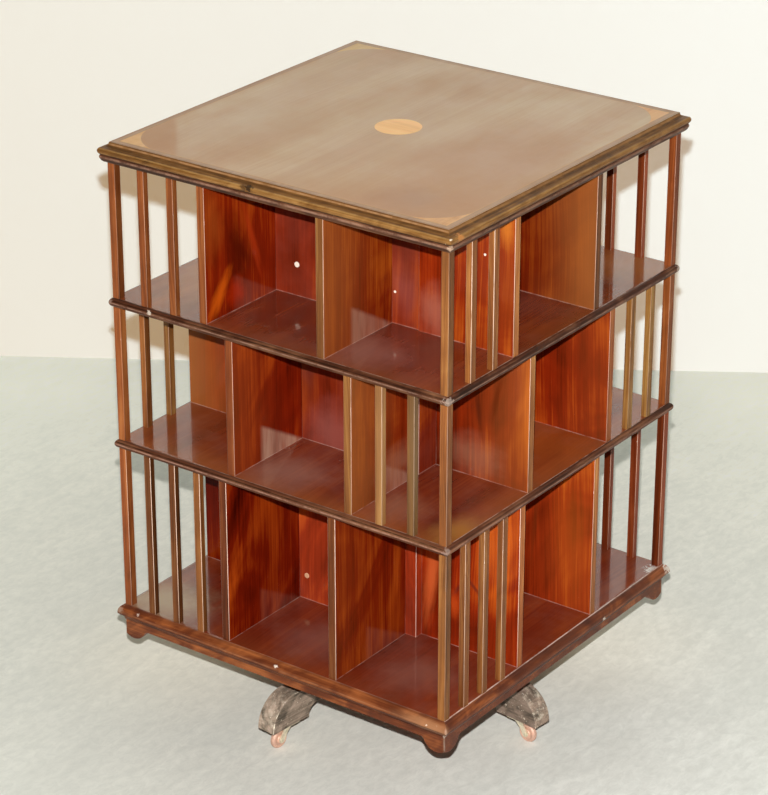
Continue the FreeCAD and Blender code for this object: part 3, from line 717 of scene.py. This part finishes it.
def dress(node, materials, soften=0.0008, minAngle=40.0, keepEnds=False, keepSharp=None, wholeFaces=True,
          grain="long", chooseMaterial=None, values=None, boards=None, seams=False, rub=0.8, wornTops=0.0):
    # A welded, softened copy of a CAD node with its grain, tone, wear and painted light stored on it.
    mesh = welded(node, wholeFaces)
    bevelled = softenEdges(mesh, soften, minAngle, keepEnds, keepSharp) if soften else set()
    faceLayer = mesh.faces.layers.float
    loopLayer = mesh.loops.layers.float
    grainLayer = mesh.loops.layers.float_vector["grain"]
    for number, faces in enumerate(separateSolids(mesh)):
        chance = random.Random(node + str(number))
        shift = Vector([chance.uniform(-3, 3) for k in range(3)])
        own = dict(tone=chance.uniform(-0.6, 0.6), warm=chance.uniform(-0.5, 0.5),
                   curl=chance.uniform(0.3, 0.9), fade=chance.uniform(0.2, 0.9),
                   bloom=0.0, rightTone=0.0, rub=rub)
        own.update(values or {})
        if boards and number < len(boards):
            own.update(boards[number])
        long = longestAxis(faces, 3)
        out = longestAxis(faces, 2)
        low = min(v.co.z for face in faces for v in face.verts)
        inner = min(abs(v.co[out]) for face in faces for v in face.verts)
        for face in faces:
            axis = long if grain == "long" else grain(face, long) if callable(grain) else grain
            for name in faceLayers[1:]:
                face[faceLayer[name]] = own[name]
            # Faces towards ±x get a tone of their own: partly the wood, partly painted light and shade of
            # that side.
            if abs(face.normal.x) > 0.7:
                face[faceLayer["tone"]] += own["rightTone"]
            towardsNear = (face.normal.x - face.normal.y) / math.sqrt(2)
            # The pale line on the bevels: wear, and on the near-facing arrises a painted glint.
            if face in bevelled:
                face[faceLayer["arris"]] = own["rub"] * (1.0 if towardsNear > 0.8 else farArris)
            elif wornTops and face.normal.z > 0.15:
                face[faceLayer["arris"]] = wornTops
            face.smooth = face in bevelled or not isFlat(face)
            face.material_index = chooseMaterial(face) if chooseMaterial else 0
            for loop in face.loops:
                loop[loopLayer["rise"]] = loop.vert.co.z - low
                loop[loopLayer["depth"]] = abs(loop.vert.co[out]) - inner if seams else 1.0
                loop[grainLayer] = grainVector(loop.vert.co, axis, shift)
    for edge in mesh.edges:
        if len(edge.link_faces) == 2:
            first, second = edge.link_faces
            if (first in bevelled) != (second in bevelled) or edge.calc_face_angle(0) > creaseAngle:
                edge.smooth = False
    piece = newPiece(node + "_dressed", mesh, materials)
    if "custom_normal" in piece.data.attributes:
        piece.data.attributes.remove(piece.data.attributes["custom_normal"])
    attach(piece, bodyOf[node])
    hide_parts(node)


def acrossStrip(face, long):
    # Crossbanding: the grain runs across each strip.
    return 1 - long if long < 2 else 0


def alongEdge(face, long):
    # Mouldings: the grain follows the side that the face belongs to.
    centre = face.calc_center_median()
    return 0 if abs(centre.y) > abs(centre.x) else 1


# Top
top = {"flatGrain": 1, "edgeStep": 0.0003, "flatDepth": 0.002}
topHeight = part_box("top_board")[1][2]
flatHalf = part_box("top_crossbanding")[1][0] + 0.0008


def onTopFlat(face):
    centre = face.calc_center_median()
    level = face.normal.z > 0.99 and centre.z > topHeight - top["flatDepth"]
    return level and max(abs(centre.x), abs(centre.y)) < flatHalf


def topGrain(face, long):
    return top["flatGrain"] if onTopFlat(face) else alongEdge(face, long)


def inlayEdge(edge):
    return all(max(abs(v.co.x), abs(v.co.y)) < flatHalf - 0.0005 for v in edge.verts)


dress("top_board", [woodOf["top"], woodOf["moulding"]], soften=top["edgeStep"], minAngle=30, grain=topGrain,
      chooseMaterial=lambda face: 0 if onTopFlat(face) else 1, wholeFaces=False, rub=0.5, keepSharp=inlayEdge)
dress("top_crossbanding", [woodOf["band"]], soften=0, grain=acrossStrip)
dress("top_stringing", [woodOf["satin"]], soften=0, values=dict(tone=-1.3))
dress("top_spandrels", [woodOf["satin"]], soften=0, grain=1, values=dict(tone=-0.75),
      boards=[dict(tone=-0.6), {}, dict(tone=-0.75, warm=-0.6), dict(tone=-0.6, warm=-0.7)])
dress("top_patera", [woodOf["satin"]], soften=0, grain=0, values=dict(tone=0.5))
dress("sub_top", [woodOf["bead"]], soften=top["edgeStep"], minAngle=30, grain=alongEdge, rub=0.5,
      values=dict(tone=-0.4, warm=0.0))
print("top dressed")

# Shelves and base
# The fade of the shelves and the base top also carries painted light and reflection.
shelfLooks = {"lower_shelf": dict(tone=0.3, warm=0.0, fade=0.5),
              "upper_shelf": dict(tone=-0.2, warm=0.0, fade=0.3)}
base = {"edgeStep": 0.0003, "coveStep": 0.0002, "top": dict(tone=0.3, warm=-0.3, fade=0.15),
        "cove": dict(tone=-0.4, warm=-0.2)}


def shelfFinish(face):
    return 0 if face.normal.z > 0.99 else 1


def shelfGrain(face, long):
    return 1 if abs(face.normal.z) > 0.99 else alongEdge(face, long)


for node, values in shelfLooks.items():
    dress(node, [woodOf["shelf"], woodOf["bead"]], soften=0, wholeFaces=False, values=values,
          grain=shelfGrain, chooseMaterial=shelfFinish)
dress("base_board", [woodOf["shelf"], woodOf["base"]], soften=base["edgeStep"], minAngle=30, wholeFaces=False,
      values=base["top"], grain=shelfGrain, chooseMaterial=shelfFinish)
dress("base_cove", [woodOf["base"]], soften=base["coveStep"], minAngle=30, values=base["cove"])
dress("apron_boards", [woodOf["base"]])
print("boards dressed")


# Tiers: one row for each board or bar. What a row leaves out, or gives as None, stays as drawn in dress.
# Besides tone, these rows set painted light: the fade, a painted glint on the arrises, painted reflection
# haze low by the column, and painted light and shade on the bars' faces towards ±x.
boardColumns = ("tone", "warm", "curl", "fade", "rub", "bloom")
barColumns = ("tone", "warm", "rightTone", "rub")
boardLooks = {
    "top": {
        "column": (-0.1, 0.2, 0.5, 0.0),
        "front": [(-0.4, -0.3, 0.4, 0.0, 0.5, 0.1), (-0.8, 0.4, 0.3, 0.45, 0.6, 0.45)],
        "right": [(0.4, 0.2, 0.5, 0.1), (-1.3, 0.0, 0.4, 0.75, 0.6)]},
    "middle": {
        "column": (-0.7, 0.1, 0.5, 0.0),
        "front": [(-0.6, -0.5, 0.6, 0.2, 0.5, 0.95), (-0.5, 0.4, 0.4, 0.6, 0.7, 0.5)],
        "right": [(-0.1, 0.3, 0.9, 0.35, 0.7), (0.0, -0.2, 0.5, 0.2, 0.5)]},
    "bottom": {
        "column": (1.2, 0.3, 0.6, 0.0),
        "left": [(-1.3, -0.5, 0.4, 0.0), (-1.3, -0.5, 0.4, 0.0)],
        "front": [(-1.1, -0.6, 0.8, 0.0, 1.0, 0.1), (-1.0, -0.2, 0.4, 0.1, 1.0, 0.12)],
        "right": [(0.5, -0.1, 0.6, 0.05, 1.0), (1.0, 0.3, 0.45, 0.15, 0.6)]},
}

# Corner posts run left, far, near, right; slats run by side: left, then front and back, then right
shadedBar = (-0.2, None, 0.0, 0.3)
barLooks = {
    "top": {
        "posts": [(0.15, -0.2, -1.3, 0.15), (), (-0.05, 0.4, -0.8, 0.2), (-0.4, -0.5, -0.3, 0.3)],
        "slats": [(), (), (-0.25, -0.3, -0.6, 0.28), (-0.35, -0.2, -0.5, 0.25), (-1.3, -0.8, 1.2, 0.5),
                  (-0.9, -0.8, 0.9, 0.5), (0.1, 0.3, -0.5, 1.1), (-0.3, 0.2, -0.2, 1.1)]},
    "middle": {
        "posts": [(0.3, -0.2, -0.9, 0.15), (), (0.0, 0.2, -0.7, 0.3), (-0.2, -0.2, -0.3, 0.3)],
        "slats": [(0.2, 0.2, -1.3, 0.2), (-0.4, 0.7, -0.4, 0.3), (-0.4, 0.8), (-0.3, 0.8),
                  (-0.1, 0.6, -0.3, 0.5), (-0.5, 0.6, -0.6, 0.3), (-0.3, 0.8, -0.3, 0.3),
                  (-0.2, 0.9, -0.3, 0.3)]},
    "bottom": {
        "posts": [(0.3, -0.3, -0.9, 0.5), (), (0.0, 0.5, -0.6, 0.2), (-1.2, -0.9, 0.7, 0.5)],
        "slats": [shadedBar, shadedBar, shadedBar,
                  (-1.1, 0.0, -0.5, 1.3), (-1.0, 0.0, -0.6, 1.2), (-0.2, 0.3, -0.6, 1.2),
                  (-1.2, -1.0, 0.5, 0.5), (-1.1, -1.0, 0.5, 0.5), (-1.0, -1.0, 0.4, 0.5),
                  (-0.6, 0.2, 0.1, 0.6), (-0.5, 0.3, 0.0, 0.6), (-0.5, 0.2, -0.1, 0.6)]},
}


def readRows(columns, rows):
    return [{name: value for name, value in zip(columns, row) if value is not None} for row in rows]


def dividerFinish(side):
    # The narrow outer edge of each board is as faded as the posts.
    outward = Vector([(0, -1, 0), (1, 0, 0), (0, 1, 0), (-1, 0, 0)][side])
    return lambda face: 1 if face.normal.dot(outward) > 0.6 else 0


upright = dict(soften=0.0006, keepEnds=True, grain=2)
for tier in tierNames:
    looks = boardLooks[tier]
    dress("column_" + tier, [woodOf["column"]], values=dict(zip(boardColumns, looks["column"])), **upright)
    for kind, rows in barLooks[tier].items():
        dress(kind + "_" + tier, [woodOf["bar"]], boards=readRows(barColumns, rows), **upright)
    for number, side in enumerate(sideNames):
        rows = readRows(boardColumns, looks.get(side, []))
        dress("dividers_%s_%s" % (tier, side), [woodOf["panel"], woodOf["bar"]], seams=True, boards=rows,
              chooseMaterial=dividerFinish(number), **upright)

# Plugs over the fixings of the column and of one divider: place along and up, face, width and colour
plugs = [
    dict(name="plug_top", at=(-0.0768, 0.664), face=0.122, across=0.0078, wood="cream"),
    dict(name="plug_bottom", at=(-0.0747, 0.1955), face=0.1115, across=0.0078, wood="tan"),
    dict(name="plug_corner", at=(0.0832, 0.664), face=0.122, across=0.0038, wood="cream"),
    dict(name="plug_divider", at=(0.2240, 0.749), face=0.124, across=0.0036, wood="cream"),
]
plugColours = {"cream": ((0.86, 0.74, 0.60), (0.98, 0.90, 0.80)),
               "tan": ((0.58, 0.30, 0.16), (0.74, 0.44, 0.27))}
plugDepth = 0.0016
plugEdge = 0.0004


def makePlugWood(name, dull, bright):
    material, tree, shader = newMaterial(name + "Plug")
    mottled = mixColour(tree, cloudy(tree, objectPlace(tree), 400.0, 3.0), dull, bright)
    wire(tree, shader, {"Base Color": mottled, "Roughness": 0.5})
    return material


plugWood = {name: makePlugWood(name, *colours) for name, colours in plugColours.items()}
for plug in plugs:
    mesh = bmesh.new()
    radius = plug["across"] / 2
    bmesh.ops.create_cone(mesh, cap_ends=True, segments=40, radius1=radius, radius2=radius, depth=plugDepth)
    rim = [e for e in mesh.edges if all(v.co.z > 0 for v in e.verts)]
    bmesh.ops.bevel(mesh, geom=rim, offset=plugEdge, offset_type="OFFSET", affect="EDGES", segments=3,
                    profile=0.5, material=-1)
    turned = Matrix.Rotation(math.radians(90), 4, "X")
    moved = Matrix.Translation((plug["at"][0], -plug["face"], plug["at"][1]))
    bmesh.ops.transform(mesh, matrix=moved @ turned, verts=mesh.verts)
    for face in mesh.faces:
        face.smooth = abs(face.normal.y) < 0.99
    piece = newPiece(plug["name"], mesh, [plugWood[plug["wood"]]])
    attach(piece, "case")
print("tiers dressed")

# Cross foot and castors
foot = {"edge": 0.0020, "screwHoleEdge": 0.0006, "undersideTop": 0.0362, "castorEdge": 0.0003}
# The faces towards ±x also get painted light and shade.
footLooks = {
    "cross_beam_upper": dict(values=dict(tone=-0.9, warm=-0.6, rightTone=0.7, curl=0.7), wornTops=0.5),
    "cross_beam_lower": dict(values=dict(tone=0.0, rightTone=-0.5, curl=0.9), wornTops=0.20),
    "centre_block": dict(values=dict(tone=-0.5, curl=0.6), wornTops=0.1),
}


def screwHoleOrUnderside(edge):
    under = max(v.co.z for v in edge.verts) < foot["undersideTop"]
    return under or edge.calc_length() < foot["screwHoleEdge"]


for node, look in footLooks.items():
    dress(node, [woodOf["foot"]], soften=foot["edge"], minAngle=35, rub=1.0,
          keepSharp=screwHoleOrUnderside, **look)
for number in range(1, 5):
    for kind, metal in (("horn", "brass"), ("axle", "brass"), ("wheel", "copperWheel")):
        dress("castor_%s_%d" % (kind, number), [metalOf[metal]], soften=foot["castorEdge"])
plain = {"castor_brass": metalOf["brass"], "iron": metalOf["iron"], "screw_steel": metalOf["screwSteel"]}
for node, thing in nodes.items():
    if slotOf[node] in plain and not node.startswith(("castor_horn", "castor_axle")):
        thing.data.materials.clear()
        thing.data.materials.append(plain[slotOf[node]])
print("foot and castors dressed")


# Floor, wall and room. Glow is light that the camera and the polish see, and that falls on nothing.
stage = {"turn": 33.0, "behind": 1.122, "ahead": 4.0, "side": 5.0, "wallHeight": 3.6}
floorLook = {"left": (0.83, 0.85, 0.80), "right": (1.02, 1.06, 1.04), "far": (0.93, 0.885, 0.79),
             "glow": (0.24, 0.255, 0.215), "underGlow": (0.085, 0.062, 0.030),
             "pools": [(-0.30, -0.12, 0), (0.16, 0.26, 0)], "poolReach": 0.26}
wallLook = {"paint": (0.61, 0.75, 0.82), "bounce": (0.54, 0.56, 0.52), "shadeLeft": (0.30, 0.135, 0.002),
            "shadeRight": (0.40, 0.27, 0.17)}
roomLook = {"wall": (0.94, 0.90, 0.80), "fill": (1.0, 0.98, 0.95), "fillLevel": 0.015, "fillAbove": 0.12,
            "glow": 0.02}
turn = math.radians(stage["turn"])
acrossStage = (math.cos(turn), math.sin(turn), 0)
awayFromLens = (-math.sin(turn), math.cos(turn), 0)


def turnedPiece(name, mesh, material):
    bmesh.ops.rotate(mesh, verts=mesh.verts, cent=(0, 0, 0), matrix=Matrix.Rotation(turn, 3, "Z"))
    return newPiece(name, mesh, [material])


def glowShown(tree, rays):
    return maths(tree, "MAXIMUM", rays["Is Camera Ray"], rays["Is Glossy Ray"])


def makeFloorPaint():
    material, tree, shader = newMaterial("paleFloor")
    place = objectPlace(tree)
    across = spread(tree, vectorMaths(tree, "DOT_PRODUCT", place, acrossStage), -0.35, 0.45)
    away = spread(tree, vectorMaths(tree, "DOT_PRODUCT", place, awayFromLens), -0.8, 1.1, smooth=False)
    colour = mixColour(tree, across, floorLook["left"], floorLook["right"])
    colour = mixColour(tree, away, colour, floorLook["far"])
    worked = cloudy(tree, stretched(tree, place, (1, 0.6, 1)), 90.0, 6.0, 0.75, 0.6)
    brushed = cloudy(tree, stretched(tree, place, (1, 0.25, 1)), 34.0, 5.0, 0.7, 1.2)
    mottle = cloudy(tree, place, 5.0, 6.0, 0.6)
    for noise, low, amount, tint in ((worked, 0.3, 0.32, (0.47, 0.485, 0.45)),
                                     (brushed, 0.3, 0.26, (0.55, 0.56, 0.52)),
                                     (mottle, 0.35, 0.22, (0.62, 0.63, 0.59))):
        colour = mixColour(tree, times(tree, spread(tree, noise, low, 1.0 - low), amount), colour, tint)
    under = None
    for spot in floorLook["pools"]:
        pool = spread(tree, vectorMaths(tree, "DISTANCE", place, spot), floorLook["poolReach"], 0.0)
        under = maths(tree, "MAXIMUM", under, pool) if under else pool
    outward = spread(tree, vectorMaths(tree, "LENGTH", place), 0.32, 1.15, smooth=False)
    far = mixColour(tree, outward, (0, 0, 0), floorLook["glow"])
    near = mixColour(tree, under, (0, 0, 0), floorLook["underGlow"])
    rays = addNode(tree, "ShaderNodeLightPath").outputs
    wire(tree, shader, {"Base Color": colour, "Roughness": 0.75, "Emission Strength": glowShown(tree, rays),
                        "Emission Color": mixColour(tree, 1.0, far, near, blend="ADD")})
    return material


def makeFloor():
    mesh = bmesh.new()
    bmesh.ops.create_grid(mesh, x_segments=2, y_segments=2, size=1.0)
    for vert in mesh.verts:
        vert.co.x *= stage["side"]
        vert.co.y = stage["behind"] if vert.co.y > 0.5 else vert.co.y * stage["ahead"]
    floor = turnedPiece("floor", mesh, makeFloorPaint())


def makeWallPaint():
    material, tree, shader = newMaterial("paleWall")
    along = vectorMaths(tree, "DOT_PRODUCT", objectPlace(tree), acrossStage)
    along = spread(tree, along, -1.0, 0.8, smooth=False)
    shade = mixColour(tree, along, wallLook["shadeLeft"], wallLook["shadeRight"])
    rays = addNode(tree, "ShaderNodeLightPath").outputs
    paint = mixColour(tree, rays["Is Diffuse Ray"], wallLook["paint"], wallLook["bounce"])
    wire(tree, shader, {"Base Color": paint, "Roughness": 0.9, "Specular IOR Level": 0.0,
                        "Emission Color": shade, "Emission Strength": glowShown(tree, rays)})
    clear = addNode(tree, "ShaderNodeBsdfTransparent").outputs[0]
    behind = addNode(tree, "ShaderNodeNewGeometry").outputs["Backfacing"]
    both = addNode(tree, "ShaderNodeMixShader", {0: behind, 1: shader.outputs[0], 2: clear})
    feed(tree, tree.nodes["Material Output"].inputs["Surface"], both.outputs[0])
    return material


def makeWall():
    # A plain backdrop that keeps the shadow of the case; it is only seen from its front.
    mesh = bmesh.new()
    bmesh.ops.create_grid(mesh, x_segments=1, y_segments=1, size=1.0)
    for vert in mesh.verts:
        height = (vert.co.y + 1) * stage["wallHeight"] / 2
        vert.co = Vector((vert.co.x * stage["side"], stage["behind"], height))
    wall = turnedPiece("backdrop", mesh, makeWallPaint())


def makeRoom():
    # A pale wall behind, a dimmer room in front: the polish mirrors both.
    world = bpy.context.scene.world or bpy.data.worlds.new("room")
    bpy.context.scene.world = world
    world.use_nodes = True
    tree = world.node_tree
    tree.nodes.clear()
    gaze = addNode(tree, "ShaderNodeTexCoord").outputs["Generated"]
    height = parted(tree, gaze)[2]
    level = spread(tree, height, 0.0, 1.0, roomLook["fillLevel"], roomLook["fillAbove"], smooth=False)
    towardsWall = vectorMaths(tree, "DOT_PRODUCT", gaze, awayFromLens)
    wallGlow = spread(tree, towardsWall, -0.05, 0.45, roomLook["glow"], 1.1)
    uneven = spread(tree, cloudy(tree, gaze, 9.0, 3.0), 0.3, 0.7, 0.86, 1.06)
    wall = roomLook["wall"]
    shades = [addNode(tree, "ShaderNodeBackground", {"Color": colour, "Strength": strength}).outputs[0]
              for colour, strength in ((roomLook["fill"], level), (wall, times(tree, wallGlow, uneven)),
                                       (wall, 1.0))]
    rays = addNode(tree, "ShaderNodeLightPath").outputs
    mirrored = maths(tree, "MAXIMUM", rays["Is Glossy Ray"], rays["Is Transmission Ray"])
    first = addNode(tree, "ShaderNodeMixShader", {0: mirrored, 1: shades[0], 2: shades[1]}).outputs[0]
    last = addNode(tree, "ShaderNodeMixShader", {0: rays["Is Camera Ray"], 1: first, 2: shades[2]}).outputs[0]
    addNode(tree, "ShaderNodeOutputWorld", {0: last})


makeFloor()
makeWall()
makeRoom()

# Camera and lamp
lens = {"place": (2.1264, -2.9486, 2.0998), "tilt": 65.545, "turn": 36.096, "length": 132.03}
cameraData = bpy.data.cameras.new("camera")
cameraData.lens = lens["length"]
cameraData.sensor_width = 36.0
camera = bpy.data.objects.new("camera", cameraData)
camera.location = lens["place"]
camera.rotation_euler = (math.radians(lens["tilt"]), 0, math.radians(lens["turn"]))
bpy.context.scene.collection.objects.link(camera)
bpy.context.scene.camera = camera

key = {"place": (2.06, -2.87, 2.21), "aim": (0, 0, 0.45), "size": 0.035, "power": 189.0,
       "colour": (1.0, 0.98, 0.94)}
lampData = bpy.data.lights.new("key", "AREA")
lampData.shape = "DISK"
lampData.size = key["size"]
lampData.energy = key["power"]
lampData.color = key["colour"]
lamp = bpy.data.objects.new("key", lampData)
lamp.location = key["place"]
lamp.rotation_euler = (Vector(key["aim"]) - Vector(key["place"])).to_track_quat("-Z", "Y").to_euler()
bpy.context.scene.collection.objects.link(lamp)

bpy.context.scene.view_settings.view_transform = "Standard"
print("stage, light and camera ready")
